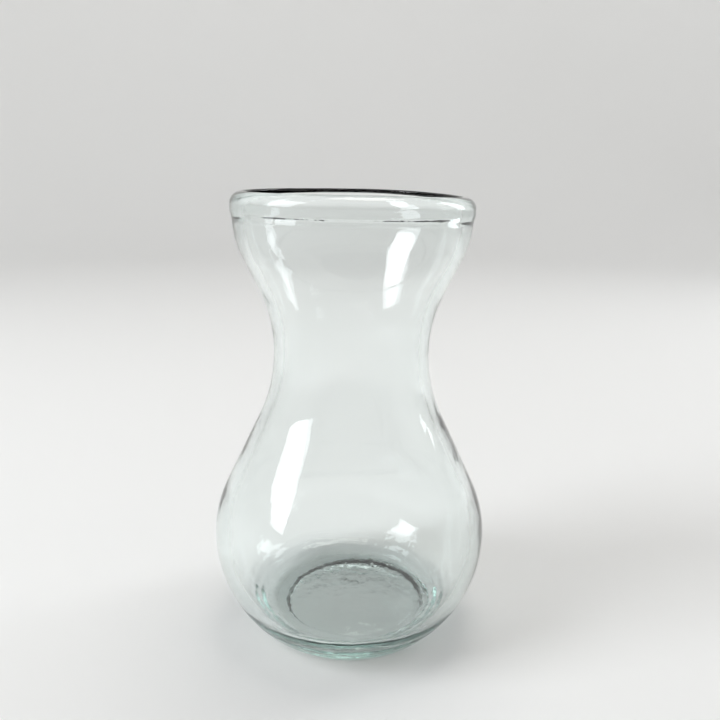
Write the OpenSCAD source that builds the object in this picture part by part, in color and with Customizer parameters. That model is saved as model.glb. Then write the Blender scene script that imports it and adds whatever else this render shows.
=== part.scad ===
// Glass vase for a single bulb or bud.
// One piece of clear glass, blown in a two-part mould: a round belly that holds the water, a
// narrow waist, and a flared collar with a thick fire-polished lip. The underside is pushed up
// in the middle, so the vase stands on a narrow ring. Every surface is turned about the upright
// axis, so the whole shape is one half section.
//
// Frame: millimetres, +Z up. The origin is on the axis, at the level of the table.

/* [Overall] */
// Height from the table to the top of the lip
overall_h = 120; // [104:1:144]
// Diameter of the belly where it is widest
belly_d = 74.8; // [62:0.2:90]
// Height of the widest part of the belly above the table
belly_z = 27.4; // [23:0.2:33]

/* [Neck] */
// Diameter of the waist where it is narrowest
waist_d = 41.4; // [34:0.2:46]
// Height of the narrowest part of the waist above the table
waist_z = 78.8; // [65:0.2:88]
// How round the side from belly to waist is: 1 is all curve, less leaves a straight run
belly_side_fullness = 0.83; // [0.5:0.01:1]
// Share of that curve's radius that belongs to the belly, the rest belongs to the waist
belly_side_share = 0.415; // [0.2:0.005:0.8]

/* [Collar and lip] */
// Diameter of the collar just under the lip
collar_d = 61.6; // [54:0.2:74]
// How round the side from waist to collar is: 1 is all curve, less leaves a straight run
collar_side_fullness = 0.94; // [0.5:0.01:1]
// Share of that curve's radius that belongs to the waist, the rest belongs to the collar
collar_side_share = 0.595; // [0.2:0.005:0.8]
// Height of the lip's bead
lip_h = 5.9; // [5.2:0.1:9]
// How far the bead stands out from the collar
lip_proud = 0.5; // [0.3:0.1:1.2]
// Radius of the bead's outer top edge
lip_top_r = 3.1; // [1:0.1:3.3]
// Radius of the bead's underside
lip_under_r = 2; // [1.2:0.1:2.2]
// Depth of the straight round mouth inside the lip, from the top of the lip
mouth_h = 6.5; // [5:0.1:9]

/* [Glass] */
// Thickness of the belly where it is widest
belly_wall = 3.2; // [2:0.1:4.5]
// Thickness of the waist where it is narrowest
waist_wall = 2.8; // [2:0.1:4.5]
// Thickness of the collar under the lip
collar_wall = 3.1; // [2:0.1:4.5]
// Height of the inside floor above the table
floor_t = 6; // [4.5:0.1:9]
// Radius of the rounding between the inside floor and the belly
floor_corner_r = 12; // [8:0.5:15]

/* [Foot] */
// Diameter of the flat part of the underside, across the outside of the bearing ring
foot_d = 43.5; // [30:0.5:47]
// Radius of the heel, between the bearing ring and the belly
heel_r = 6; // [3:0.5:7]
// Width of the ring that the vase stands on
bearing_w = 1.5; // [1:0.1:4]
// Height of the step from the bearing ring into the push-up
push_up_step = 0.7; // [0.3:0.1:1.2]
// Height of the push-up above the table, at the axis
push_up_h = 2; // [1.5:0.1:3]

/* [Hidden] */

// Largest turn of an arc between two neighbouring points of the section, in degrees
arc_step = 4;
// Least radius that the lip's inner top edge keeps when the lip is thin
lip_edge_min = 0.5;
// Part of the bearing ring's width that the rounding of its inner edge takes
ring_edge_share = 0.45;
// Slant of the step into the push-up, in degrees, which lets the vase leave the mould
step_draft = 15;

belly_r = belly_d / 2;
waist_r = waist_d / 2;
collar_r = collar_d / 2;
lip_r = collar_r + lip_proud;
mouth_r = collar_r - collar_wall;
foot_r = foot_d / 2;
push_up_r = foot_r - bearing_w;
lip_z = overall_h - lip_h;
mouth_z = overall_h - mouth_h;

// Lower half of the belly: one arc, upright at the widest part and tangent to the heel
belly_to_foot = belly_r - foot_r;
belly_to_heel = belly_z - heel_r;
belly_arc_r = (pow(belly_to_foot, 2) + pow(belly_to_heel, 2) - pow(heel_r, 2))
    / (2 * (belly_to_foot - heel_r));
belly_arc_c = [belly_r - belly_arc_r, belly_z];

// Points along an arc from one angle to another, in degrees from +X
function arc(centre, r, from, to) =
    let (n = max(2, ceil(abs(to - from) / arc_step)))
    [for (i = [0:n]) let (a = from + (to - from) * i / n) centre + r * [cos(a), sin(a)]];

function reversed(points) = [for (i = [len(points) - 1:-1:0]) points[i]];

// Side of the vase from one upright place to a higher one: an arc that bulges one way, a
// straight run, and an arc that bulges the other way, each tangent to the next
function side(low, high, fullness, low_share) =
    let (
        w = abs(high.x - low.x),
        h = high.y - low.y,
        way = sign(low.x - high.x),
        radii = fullness * (w * w + h * h) / (2 * w),
        low_r = low_share * radii,
        high_r = radii - low_r,
        lean = atan2(h, radii - w) - acos(min(1, radii / norm([radii - w, h]))),
        low_c = low - [way * low_r, 0],
        high_c = high + [way * high_r, 0],
        low_arc = arc([0, 0], low_r, 0, lean),
        high_arc = arc([0, 0], high_r, lean, 0)
    )
    concat(
        [for (p = low_arc) low_c + [way * p.x, p.y]],
        [for (p = high_arc) high_c - [way * p.x, p.y]]
    );

// Bottom of a round vessel, from its flat floor out to its widest point: a corner arc that
// meets the floor and the belly's arc without a crease
function bowl(belly_arc, flat_z, corner_r) =
    let (
        corner_z = flat_z + corner_r,
        reach = sqrt(pow(belly_arc - corner_r, 2) - pow(belly_arc_c.y - corner_z, 2)),
        corner_c = [belly_arc_c.x + reach, corner_z],
        turn = atan2(corner_c.y - belly_arc_c.y, reach)
    )
    concat(arc(corner_c, corner_r, -90, turn), arc(belly_arc_c, belly_arc, turn, 0));

// Shallow dome of the push-up, and the rounded step down to the bearing ring
function underside() =
    let (
        rise = push_up_h - push_up_step,
        r = (push_up_r * push_up_r + rise * rise) / (2 * rise),
        half_angle = asin(push_up_r / r),
        edge_r = min(push_up_step, ring_edge_share * bearing_w)
    )
    concat(
        arc([0, push_up_h - r], r, 90, 90 - half_angle),
        arc([push_up_r + edge_r, edge_r], edge_r, 180 + step_draft, 270)
    );

// Bead of the lip, from its underside over the top to the straight mouth
function lip() =
    let (
        rim_w = lip_r - mouth_r,
        outer_r = min(lip_top_r, rim_w - lip_edge_min),
        inner_r = rim_w - outer_r,
        under = acos(1 - lip_proud / lip_under_r),
        under_z = lip_z + lip_under_r * sin(under)
    )
    concat(
        arc([lip_r - lip_under_r, under_z], lip_under_r, -under, 0),
        arc([lip_r - outer_r, overall_h - outer_r], outer_r, 0, 90),
        arc([mouth_r + inner_r, overall_h - inner_r], inner_r, 90, 180)
    );

function outside() = concat(
    bowl(belly_arc_r, 0, heel_r),
    side([belly_r, belly_z], [waist_r, waist_z], belly_side_fullness, belly_side_share),
    side([waist_r, waist_z], [collar_r, lip_z], collar_side_fullness, collar_side_share)
);

function inside() = concat(
    [[0, floor_t]],
    bowl(belly_arc_r - belly_wall, floor_t, floor_corner_r),
    side([belly_r - belly_wall, belly_z], [waist_r - waist_wall, waist_z],
        belly_side_fullness, belly_side_share),
    side([waist_r - waist_wall, waist_z], [mouth_r, mouth_z],
        collar_side_fullness, collar_side_share)
);

module half_section() {
    polygon(concat(underside(), outside(), lip(), reversed(inside())));
}

module glass_vase() {
    color([0.82, 0.88, 0.86, 0.35])
        rotate_extrude($fn = 180)
            half_section();
}

glass_vase();
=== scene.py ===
# %% [markdown]
# # A glass vase for one bulb or bud
# A heavy little vase of clear glass: a round belly that holds the water, a narrow waist, and a flared
# collar that carries the bulb, finished with a thick rolled lip. It is one piece of glass. This lesson
# turns it from a half section, as a glass lathe would, gives it the marks that a mould leaves, and
# then lights it, because a clear thing shows only what is round it.

# %% Load the frame
import math

import bpy
from mathutils import Matrix, Vector


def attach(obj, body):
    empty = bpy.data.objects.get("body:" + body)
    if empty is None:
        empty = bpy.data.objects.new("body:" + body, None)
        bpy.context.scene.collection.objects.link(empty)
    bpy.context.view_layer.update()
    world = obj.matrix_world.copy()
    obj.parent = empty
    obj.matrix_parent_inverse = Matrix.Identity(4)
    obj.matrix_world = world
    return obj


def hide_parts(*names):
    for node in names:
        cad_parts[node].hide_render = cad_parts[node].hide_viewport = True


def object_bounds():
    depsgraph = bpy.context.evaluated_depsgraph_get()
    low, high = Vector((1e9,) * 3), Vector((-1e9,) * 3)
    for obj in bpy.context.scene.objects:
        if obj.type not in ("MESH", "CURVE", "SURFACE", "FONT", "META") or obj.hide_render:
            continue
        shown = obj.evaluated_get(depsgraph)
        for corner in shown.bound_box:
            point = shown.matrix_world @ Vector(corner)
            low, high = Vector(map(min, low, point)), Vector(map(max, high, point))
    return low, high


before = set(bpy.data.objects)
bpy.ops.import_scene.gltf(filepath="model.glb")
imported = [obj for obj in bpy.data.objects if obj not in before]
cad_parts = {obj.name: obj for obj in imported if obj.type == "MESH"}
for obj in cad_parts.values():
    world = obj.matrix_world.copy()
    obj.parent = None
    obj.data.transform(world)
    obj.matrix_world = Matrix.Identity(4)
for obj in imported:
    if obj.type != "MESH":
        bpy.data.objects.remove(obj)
CAD_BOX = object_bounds()
MM = 0.001
height = CAD_BOX[1].z
belly_r = CAD_BOX[1].x
print("the frame's vase is", round(height / MM, 1), "mm tall and", round(2 * belly_r / MM, 1), "mm wide")

# %% [markdown]
# ## The camera
# A small vase on a table is looked at from a little above its lip, from about a hand's length away.
# That close, the far side of the lip looks much smaller than the near side, so the distance matters
# more than the lens. The camera is turned by three angles, in the order in which a tripod head turns:
# round, down, and a slight roll.

# %% Camera
CAMERA_DISTANCE = 198 * MM
CAMERA_HEIGHT = 126 * MM
CAMERA_TILT = math.radians(14.26)
CAMERA_TURN = math.radians(-0.68)
CAMERA_ROLL = math.radians(0.82)
CAMERA_LENS = 37.9
camera_data = bpy.data.cameras.new("camera")
camera_data.lens = CAMERA_LENS
camera_data.clip_start = 0.01
camera = bpy.data.objects.new("camera", camera_data)
bpy.context.scene.collection.objects.link(camera)
camera.matrix_world = (
    Matrix.Translation((0, -CAMERA_DISTANCE, CAMERA_HEIGHT))
    @ Matrix.Rotation(CAMERA_TURN, 4, "Z")
    @ Matrix.Rotation(math.pi / 2 - CAMERA_TILT, 4, "X")
    @ Matrix.Rotation(CAMERA_ROLL, 4, "Z")
)
bpy.context.scene.camera = camera
print("the camera stands", round(CAMERA_DISTANCE / MM), "mm from the axis")

# %% [markdown]
# ## The half section
# Everything about this vase is round, so the shape is one closed outline on one side of the axis:
# under the foot, up the outside, over the lip, and down the inside. It could be drawn as a free curve,
# but real moulds are cut from arcs, and arcs that meet without a crease give long clean reflections.
# So each stretch is an arc, and the sizes are the ones that the frame was built from.

# %% Sizes of the glass
belly_z = 27.4 * MM
waist_r = 20.7 * MM
waist_z = 78.8 * MM
collar_r = 30.8 * MM
lip_h = 5.9 * MM
lip_proud = 0.5 * MM
lip_top_r = 3.1 * MM
lip_under_r = 2.0 * MM
mouth_h = 6.5 * MM
belly_wall = 3.2 * MM
waist_wall = 2.8 * MM
collar_wall = 3.1 * MM
floor_t = 6.0 * MM
floor_corner_r = 12.0 * MM
foot_r = 21.75 * MM
heel_r = 6.0 * MM
bearing_w = 1.5 * MM
push_up_step = 0.7 * MM
push_up_h = 2.0 * MM
lip_r = collar_r + lip_proud
mouth_r = collar_r - collar_wall
push_up_r = foot_r - bearing_w

# %% Arcs of the section
ARC_STEP = 5.0
LONGEST_RUN = 1.0 * MM


def arc(centre, radius, start, end):
    """Points (r, z) along an arc, with angles in degrees."""
    long_way = radius * math.radians(abs(end - start))
    steps = max(2, math.ceil(abs(end - start) / ARC_STEP), math.ceil(long_way / LONGEST_RUN))
    angles = [math.radians(start + (end - start) * i / steps) for i in range(steps + 1)]
    return [(centre[0] + radius * math.cos(a), centre[1] + radius * math.sin(a)) for a in angles]


def side(low, high, fullness, low_share):
    """An upright start, an arc, a straight run, an arc the other way, and an upright end."""
    width, rise = abs(high[0] - low[0]), high[1] - low[1]
    way = 1 if low[0] > high[0] else -1
    radii = fullness * (width**2 + rise**2) / (2 * width)
    low_radius = low_share * radii
    high_radius = radii - low_radius
    reach = math.hypot(radii - width, rise)
    lean = math.degrees(math.atan2(rise, radii - width) - math.acos(min(1, radii / reach)))
    low_centre, high_centre = low[0] - way * low_radius, high[0] + way * high_radius
    lower = [(low_centre + way * r, low[1] + z) for r, z in arc((0, 0), low_radius, 0, lean)]
    upper = [(high_centre - way * r, high[1] - z) for r, z in arc((0, 0), high_radius, lean, 0)]
    return lower + upper


to_foot, to_heel = belly_r - foot_r, belly_z - heel_r
belly_arc_r = (to_foot**2 + to_heel**2 - heel_r**2) / (2 * (to_foot - heel_r))
belly_arc_x = belly_r - belly_arc_r


def bowl(radius, flat_z, corner_r):
    """The lower belly, from a flat floor round a corner and up to the widest place."""
    corner_z = flat_z + corner_r
    reach = math.sqrt((radius - corner_r) ** 2 - (belly_z - corner_z) ** 2)
    turn = math.degrees(math.atan2(corner_z - belly_z, reach))
    corner = arc((belly_arc_x + reach, corner_z), corner_r, -90, turn)
    return corner + arc((belly_arc_x, belly_z), radius, turn, 0)


print("the lower belly is one arc of", round(belly_arc_r / MM, 1), "mm")

# %% The closed outline
BELLY_SIDE = (0.83, 0.415)
COLLAR_SIDE = (0.94, 0.595)
RING_EDGE_R = 0.67 * MM


def underside():
    rise = push_up_h - push_up_step
    dome_r = (push_up_r**2 + rise**2) / (2 * rise)
    half = math.degrees(math.asin(push_up_r / dome_r))
    dome = arc((0, push_up_h - dome_r), dome_r, 90, 90 - half)
    edge = arc((push_up_r + RING_EDGE_R, RING_EDGE_R), RING_EDGE_R, 195, 270)
    return dome + edge


def lip():
    inner_r = lip_r - mouth_r - lip_top_r
    under = math.degrees(math.acos(1 - lip_proud / lip_under_r))
    under_z = height - lip_h + lip_under_r * math.sin(math.radians(under))
    bead = arc((lip_r - lip_under_r, under_z), lip_under_r, -under, 0)
    top = arc((lip_r - lip_top_r, height - lip_top_r), lip_top_r, 0, 90)
    return bead + top + arc((mouth_r + inner_r, height - inner_r), inner_r, 90, 180)


outside = bowl(belly_arc_r, 0, heel_r)
outside += side((belly_r, belly_z), (waist_r, waist_z), *BELLY_SIDE)
outside += side((waist_r, waist_z), (collar_r, height - lip_h), *COLLAR_SIDE)
inner_belly_r, inner_waist_r = belly_r - belly_wall, waist_r - waist_wall
inside = [(0, floor_t)] + bowl(belly_arc_r - belly_wall, floor_t, floor_corner_r)
inside += side((inner_belly_r, belly_z), (inner_waist_r, waist_z), *BELLY_SIDE)
inside += side((inner_waist_r, waist_z), (mouth_r, height - mouth_h), *COLLAR_SIDE)
section = underside() + outside + lip() + inside[::-1]
print("the section has", len(section), "points before long runs are divided")

# %% [markdown]
# ## Turning the section
# A profile can be turned with the Screw modifier or with Spin. Spin is used here because it can be
# run in stretches: a wide one for each half of the mould, and a narrow one, in fine steps, where the
# two halves met. That leaves the fine rows of points that a seam needs, and no more than that.

# %% Helpers for edit mode
def only(piece):
    """Makes one piece the only selected and active object."""
    bpy.ops.object.select_all(action="DESELECT")
    piece.select_set(True)
    bpy.context.view_layer.objects.active = piece


def divided(points, longest):
    """Adds points on long straight runs, and leaves out a point that repeats the one before."""
    result = [points[0]]
    for r, z in points[1:]:
        r0, z0 = result[-1]
        run = math.hypot(r - r0, z - z0)
        if run < 0.001 * MM:
            continue
        pieces = math.ceil(run / longest)
        for i in range(1, pieces + 1):
            result.append((r0 + (r - r0) * i / pieces, z0 + (z - z0) * i / pieces))
    return result


def pick(piece, wanted):
    """Selects, in edit mode, the points that wanted(place) accepts, and returns how many."""
    bpy.ops.object.mode_set(mode="OBJECT")
    count = 0
    for vertex in piece.data.vertices:
        vertex.select = bool(wanted(vertex.co))
        count += vertex.select
    bpy.ops.object.mode_set(mode="EDIT")
    return count


# %% Draw the section as a chain of edges
outline = divided(section, LONGEST_RUN)
bpy.ops.object.select_all(action="DESELECT")
bpy.ops.mesh.primitive_circle_add(vertices=3, radius=MM, location=(0, 0, 0))
vase = bpy.context.object
vase.name = vase.data.name = "vase"
bpy.ops.object.mode_set(mode="EDIT")
bpy.ops.mesh.select_mode(type="VERT")
bpy.ops.mesh.select_all(action="SELECT")
bpy.ops.mesh.merge(type="CENTER")
bpy.ops.transform.translate(value=(outline[0][0], 0, outline[0][1]))
for (r0, z0), (r1, z1) in zip(outline, outline[1:]):
    step = (r1 - r0, 0, z1 - z0)
    bpy.ops.mesh.extrude_vertices_move(TRANSFORM_OT_translate={"value": step})
vase.update_from_editmode()
print("the section is a chain of", len(vase.data.vertices), "points")

# %% Melt the creases
CREASE_REACH = 0.9 * MM
CREASE_ROUNDS = 30


def near(place, reach=CREASE_REACH):
    """A test for points of the section that lie within reach of one place (r, z)."""
    return lambda point: math.hypot(point.x - place[0], point.z - place[1]) < reach


for name, place in (("lip crease", (collar_r, height - lip_h)), ("ring edge", (push_up_r, push_up_step))):
    found = pick(vase, near(place))
    bpy.ops.mesh.vertices_smooth(factor=0.5, repeat=CREASE_ROUNDS)
    print("the", name, "is softened over", found, "points")

# %% Spin it in two halves and two seams
SEAM_TURN = math.radians(2.4)
SEAM_STEPS = 8
HALF_STEPS = 96
SEAM_OFFSET = math.radians(2.0)
half_turn = math.pi - SEAM_TURN
bpy.ops.mesh.select_all(action="SELECT")
start = -math.pi / 2 + SEAM_OFFSET + SEAM_TURN / 2
bpy.ops.object.mode_set(mode="OBJECT")
vase.data.transform(Matrix.Rotation(start, 4, "Z"))
bpy.ops.object.mode_set(mode="EDIT")
bpy.ops.mesh.select_all(action="SELECT")
for turn, steps in ((half_turn, HALF_STEPS), (SEAM_TURN, SEAM_STEPS)) * 2:
    bpy.ops.mesh.spin(steps=steps, angle=turn, center=(0, 0, 0), axis=(0, 0, 1))
bpy.ops.mesh.select_all(action="SELECT")
bpy.ops.mesh.remove_doubles(threshold=0.002 * MM)
bpy.ops.mesh.normals_make_consistent(inside=False)
bpy.ops.object.mode_set(mode="OBJECT")
only(vase)
bpy.ops.object.shade_smooth()
print("the turned glass has", len(vase.data.vertices), "points and", len(vase.data.polygons), "faces")

# %% [markdown]
# ## The marks of the mould
# A blown glass is never quite true. Where the two halves of the mould met, a low ridge runs up the
# front and the back, and the fire that polished the lip has melted its top end away. The floor was
# pressed a little to one side, so the ring under it isn't quite central, and the soft lip has sagged
# on one side. And only the outside touched the mould, so the inside is gently wavy. A sculpting brush
# could do all that, but each mark follows a simple rule, so the points are moved by that rule.

# %% Raise the seams
SEAM_HEIGHT = 0.17 * MM
SEAM_FADE = 14 * MM


def on_outside(vertex):
    """True where a point faces away from the axis."""
    flat = Vector((vertex.co.x, vertex.co.y, 0))
    return flat.length > push_up_r and vertex.normal.dot(flat) > 0


def seam_place(point):
    """How far a point is from the middle of the nearer seam, as a share of the seam's half width."""
    turn = math.atan2(point.y, point.x) - SEAM_OFFSET - math.pi / 2
    turn = (turn + math.pi / 2) % math.pi - math.pi / 2
    return abs(turn) / (SEAM_TURN / 2)


raised = 0
for vertex in vase.data.vertices:
    share = 1 - seam_place(vertex.co)
    if share > 0 and on_outside(vertex):
        below_lip = max(0, (height - lip_h - vertex.co.z) / SEAM_FADE)
        fade = min(1, below_lip, vertex.co.z / heel_r)
        rise = SEAM_HEIGHT * fade * math.sin(math.pi / 2 * share) ** 2
        vertex.co += rise * vertex.normal
        raised += 1
print("the seams are", raised, "points, raised by up to", round(SEAM_HEIGHT / MM, 2), "mm")

# %% Shift the ring under the floor
RING_SHIFT = Vector((2.7, 0, 0)) * MM
for vertex in vase.data.vertices:
    reach = math.hypot(vertex.co.x, vertex.co.y)
    low = max(0, 1 - vertex.co.z / (2 * push_up_h))
    across = 1 if reach < foot_r else max(0, 1 - (reach - foot_r) / (3 * MM))
    vertex.co += RING_SHIFT * low * across
print("the ring sits", round(RING_SHIFT.length / MM, 1), "mm off the axis")

# %% Let one side of the lip sag
LIP_SAG = 0.9 * MM
SAG_REACH = 14 * MM
for vertex in vase.data.vertices:
    reach = math.hypot(vertex.co.x, vertex.co.y)
    sideways = max(0, vertex.co.x / reach) ** 2 if reach > MM else 0
    high = max(0, 1 - (height - vertex.co.z) / SAG_REACH)
    vertex.co.z -= LIP_SAG * sideways * high
print("the lip sags by", round(LIP_SAG / MM, 1), "mm on the right")

# %% Wave the inside
WAVE_SIZE = 16 * MM
WAVE_DEPTH = 0.22 * MM
inside_group = vase.vertex_groups.new(name="inside")
inner_points = []
for vertex in vase.data.vertices:
    flat = Vector((vertex.co.x, vertex.co.y, 0))
    if vertex.co.z > floor_t - MM and vertex.normal.dot(flat) < 0:
        inner_points.append(vertex.index)
inside_group.add(inner_points, 1.0, "REPLACE")
waves = bpy.data.textures.new("waves", "CLOUDS")
waves.noise_scale = WAVE_SIZE
waves.noise_depth = 1
displace = vase.modifiers.new("waves", "DISPLACE")
displace.texture = waves
displace.texture_coords = "LOCAL"
displace.vertex_group = "inside"
displace.strength = WAVE_DEPTH
displace.mid_level = 0.5
only(vase)
bpy.ops.object.modifier_apply(modifier="waves")
print("the inside waves over", len(inner_points), "points")

# %% [markdown]
# ## The glass
# The glass is ordinary soda-lime glass. It is nearly colourless face on, and blue-green where the eye
# looks along it, as in the heel and the lip. A tinted surface would colour thick and thin alike, so the
# tint is an absorption inside the volume, which grows with the length of the way through the glass.
# The surface has shallow dimples, ripples round the heel, puddles in the floor, a few smudges, and a
# scuffed ring where it stands. They are too slight for mesh, so bump and roughness carry them.

# %% Glass material
GLASS_IOR = 1.52
GLASS_TINT = (0.30, 0.84, 0.74, 1)
GLASS_DENSITY = 14.0
CLEAN, SMUDGED, SCUFFED = 0.004, 0.05, 0.35
TURNING_PITCH = 2.4 * MM
TURNING_DEPTH = 0.12 * MM
PUDDLE_DEPTH = 0.25 * MM
DIMPLES, PEEL, PUDDLES, SMUDGES = 110, 520, 230, 70  # waves to the metre
SCUFF_FULL, SCUFF_NONE = 0.05 * MM, 0.5 * MM
HEEL_START = 2 * MM
DIMPLE_DEPTH = 0.035 * MM
PEEL_DEPTH = 0.012 * MM
LOW_FULL, LOW_NONE = 7 * MM, 13 * MM


def noise(nodes, links, place, per_metre, detail):
    """A noise pattern that is fixed in the glass, with a given number of waves to the metre."""
    pattern = nodes.new("ShaderNodeTexNoise")
    pattern.inputs["Scale"].default_value = per_metre
    pattern.inputs["Detail"].default_value = detail
    links.new(place, pattern.inputs["Vector"])
    return pattern.outputs["Fac"]


def worked(nodes, links, operation, first, second=None):
    """A Math node on a socket and a number, or on two sockets."""
    sum_node = nodes.new("ShaderNodeMath")
    sum_node.operation = operation
    links.new(first, sum_node.inputs[0])
    if isinstance(second, bpy.types.NodeSocket):
        links.new(second, sum_node.inputs[1])
    elif second is not None:
        sum_node.inputs[1].default_value = second
    return sum_node.outputs["Value"]


def spread(nodes, links, value, low, high, to_low, to_high):
    """Turns values from low to high into values from to_low to to_high, and goes no further."""
    change = nodes.new("ShaderNodeMapRange")
    links.new(value, change.inputs["Value"])
    change.inputs["From Min"].default_value = low
    change.inputs["From Max"].default_value = high
    change.inputs["To Min"].default_value = to_low
    change.inputs["To Max"].default_value = to_high
    return change.outputs["Result"]


def bumped(nodes, links, height_value, depth, below=None):
    """A bump of a real depth, on top of the bump below it."""
    bump = nodes.new("ShaderNodeBump")
    bump.inputs["Distance"].default_value = depth
    links.new(height_value, bump.inputs["Height"])
    if below:
        links.new(below, bump.inputs["Normal"])
    return bump.outputs["Normal"]


def glass_material():
    material = bpy.data.materials.new("clear_glass")
    material.use_nodes = True
    nodes, links = material.node_tree.nodes, material.node_tree.links
    shader = nodes["Principled BSDF"]
    shader.inputs["Base Color"].default_value = (1, 1, 1, 1)
    shader.inputs["Transmission Weight"].default_value = 1.0
    shader.inputs["IOR"].default_value = GLASS_IOR
    place = nodes.new("ShaderNodeTexCoord").outputs["Object"]
    dimples = bumped(nodes, links, noise(nodes, links, place, DIMPLES, 2), DIMPLE_DEPTH)
    peel = bumped(nodes, links, noise(nodes, links, place, PEEL, 2), PEEL_DEPTH, dimples)
    split = nodes.new("ShaderNodeSeparateXYZ")
    links.new(place, split.inputs["Vector"])
    rings = nodes.new("ShaderNodeTexWave")
    rings.wave_type = "RINGS"
    rings.rings_direction = "Z"
    rings.inputs["Scale"].default_value = 2 * math.pi / (20 * TURNING_PITCH)
    links.new(place, rings.inputs["Vector"])
    low = spread(nodes, links, split.outputs["Z"], LOW_FULL, LOW_NONE, 1, 0)
    turned = worked(nodes, links, "MULTIPLY", rings.outputs["Fac"], low)
    flat = nodes.new("ShaderNodeCombineXYZ")
    links.new(split.outputs["X"], flat.inputs["X"])
    links.new(split.outputs["Y"], flat.inputs["Y"])
    reach = nodes.new("ShaderNodeVectorMath")
    reach.operation = "LENGTH"
    links.new(flat.outputs["Vector"], reach.inputs[0])
    heel = spread(nodes, links, reach.outputs["Value"], foot_r, foot_r + HEEL_START, 0, 1)
    marks = worked(nodes, links, "MULTIPLY", turned, heel)
    turned_glass = bumped(nodes, links, marks, TURNING_DEPTH, peel)
    puddles = worked(nodes, links, "MULTIPLY", noise(nodes, links, place, PUDDLES, 2), low)
    links.new(bumped(nodes, links, puddles, PUDDLE_DEPTH, turned_glass), shader.inputs["Normal"])
    smudges = spread(nodes, links, noise(nodes, links, place, SMUDGES, 6), 0.52, 0.72, CLEAN, SMUDGED)
    scuffs = spread(nodes, links, split.outputs["Z"], SCUFF_FULL, SCUFF_NONE, SCUFFED, 0)
    links.new(worked(nodes, links, "MAXIMUM", smudges, scuffs), shader.inputs["Roughness"])
    volume = nodes.new("ShaderNodeVolumeAbsorption")
    volume.inputs["Color"].default_value = GLASS_TINT
    volume.inputs["Density"].default_value = GLASS_DENSITY
    output = nodes["Material Output"]
    links.new(volume.outputs["Volume"], output.inputs["Volume"])
    return material


vase.data.materials.clear()
vase.data.materials.append(glass_material())
print("the glass bends light by", GLASS_IOR)

# %% [markdown]
# ## The studio floor
# The vase stands on a plain pale floor that curves up into a pale wall all round, as a studio's
# paper sweep does, so no view of it has a horizon. It could be a plane and a lot of fog, but a turned
# dish is simpler: a disc whose rim is extruded up and out in a few arcs.

# %% Pale sweep
SWEEP_R = 0.9
SWEEP_CORNER = 0.5
SWEEP_STEPS = 8
SWEEP_TOP = 1.4
PALE = (0.86, 0.86, 0.85, 1)


def plain_material(name, colour, roughness):
    material = bpy.data.materials.new(name)
    material.use_nodes = True
    shader = material.node_tree.nodes["Principled BSDF"]
    shader.inputs["Base Color"].default_value = colour
    shader.inputs["Roughness"].default_value = roughness
    shader.inputs["Specular IOR Level"].default_value = 0.1
    return material


bpy.ops.object.select_all(action="DESELECT")
bpy.ops.mesh.primitive_circle_add(vertices=96, radius=SWEEP_R, fill_type="NGON")
sweep = bpy.context.object
sweep.name = sweep.data.name = "pale_sweep"
bpy.ops.object.mode_set(mode="EDIT")
bpy.ops.mesh.select_all(action="SELECT")
bpy.ops.mesh.region_to_loop()
radius, level = SWEEP_R, 0.0
for i in range(1, SWEEP_STEPS + 1):
    turn = math.pi / 2 * i / SWEEP_STEPS
    wider = SWEEP_R + SWEEP_CORNER * math.sin(turn)
    higher = SWEEP_CORNER * (1 - math.cos(turn))
    bpy.ops.mesh.extrude_edges_move(TRANSFORM_OT_translate={"value": (0, 0, higher - level)})
    bpy.ops.transform.resize(value=(wider / radius, wider / radius, 1))
    radius, level = wider, higher
bpy.ops.mesh.extrude_edges_move(TRANSFORM_OT_translate={"value": (0, 0, SWEEP_TOP - level)})
bpy.ops.object.mode_set(mode="OBJECT")
bpy.ops.object.shade_smooth()
sweep.data.materials.append(plain_material("pale_paper", PALE, 0.9))
sweep.visible_shadow = False
print("the sweep is", round(2 * radius, 1), "m across")

# %% [markdown]
# ## Plain soft light
# Clear glass has no colour of its own. It shows the pale paper behind it, bent by its walls, and what
# gives it an edge is a change of tone round it. So the light is plain: an even pale glow that is a
# little darker overhead, and three big soft lamps. Their own shapes shine in the lip and the belly.

# %% Even light from all round
ROOM_TONES = (
    (0.00, (1.00, 0.99, 0.97)),
    (0.52, (0.90, 0.89, 0.88)),
    (1.00, (0.10, 0.10, 0.11)),
)
ROOM_LIGHT = 1.0


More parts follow.
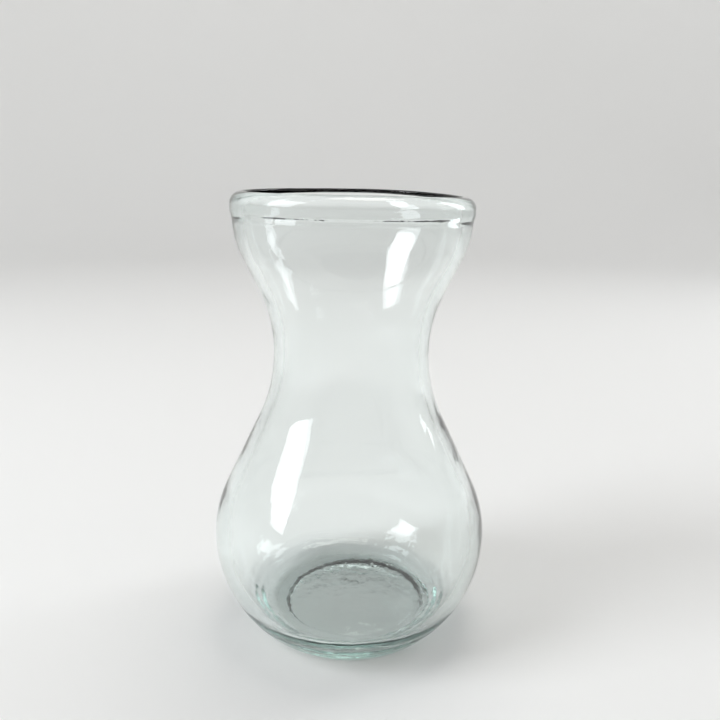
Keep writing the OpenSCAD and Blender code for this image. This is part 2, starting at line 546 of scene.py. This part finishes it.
def soft_world():
    """A world that is pale at eye level and fades to grey overhead."""
    world = bpy.data.worlds.new("soft_light")
    world.use_nodes = True
    nodes, links = world.node_tree.nodes, world.node_tree.links
    place = nodes.new("ShaderNodeTexCoord").outputs["Generated"]
    split = nodes.new("ShaderNodeSeparateXYZ")
    links.new(place, split.inputs["Vector"])
    level = spread(nodes, links, split.outputs["Z"], -1, 1, 0, 1)
    tones = nodes.new("ShaderNodeValToRGB")
    links.new(level, tones.inputs["Fac"])
    elements = tones.color_ramp.elements
    while len(elements) < len(ROOM_TONES):
        elements.new(0.5)
    for element, (where, colour) in zip(elements, ROOM_TONES):
        element.position = where
        element.color = (*colour, 1)
    links.new(tones.outputs["Color"], nodes["Background"].inputs["Color"])
    nodes["Background"].inputs["Strength"].default_value = ROOM_LIGHT
    return world


bpy.context.scene.world = soft_world()
bpy.context.scene.view_settings.view_transform = "Standard"
print("the light has", len(ROOM_TONES), "tones from floor to ceiling")

# %% Soft lamps
DAYLIGHT = (0.94, 0.97, 1.0)
LAMPLIGHT = (1.0, 0.97, 0.92)


def soft_lamp(name, place, width, tall, power, colour):
    """A large plain lamp that faces the middle of the vase."""
    to_vase = Vector((0, 0, height / 2)) - Vector(place)
    data = bpy.data.lights.new(name, "AREA")
    data.shape = "RECTANGLE"
    data.size = width
    data.size_y = tall
    data.energy = power
    data.color = colour
    lamp = bpy.data.objects.new(name, data)
    bpy.context.scene.collection.objects.link(lamp)
    lamp.matrix_world = Matrix.Translation(place) @ to_vase.to_track_quat("-Z", "Y").to_matrix().to_4x4()
    print(name, "gives", power, "W")


soft_lamp("lamp_left", (-0.80, -0.30, 0.60), 0.45, 0.70, 6.0, DAYLIGHT)
soft_lamp("lamp_right", (0.75, 0.35, 0.45), 0.25, 0.60, 1.8, DAYLIGHT)
soft_lamp("lamp_above", (0.10, 0.20, 1.10), 0.50, 0.50, 3.0, LAMPLIGHT)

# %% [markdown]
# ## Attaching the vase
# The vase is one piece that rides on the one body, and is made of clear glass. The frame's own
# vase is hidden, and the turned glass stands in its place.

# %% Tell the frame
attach(vase, "root")
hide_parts("glass_vase")
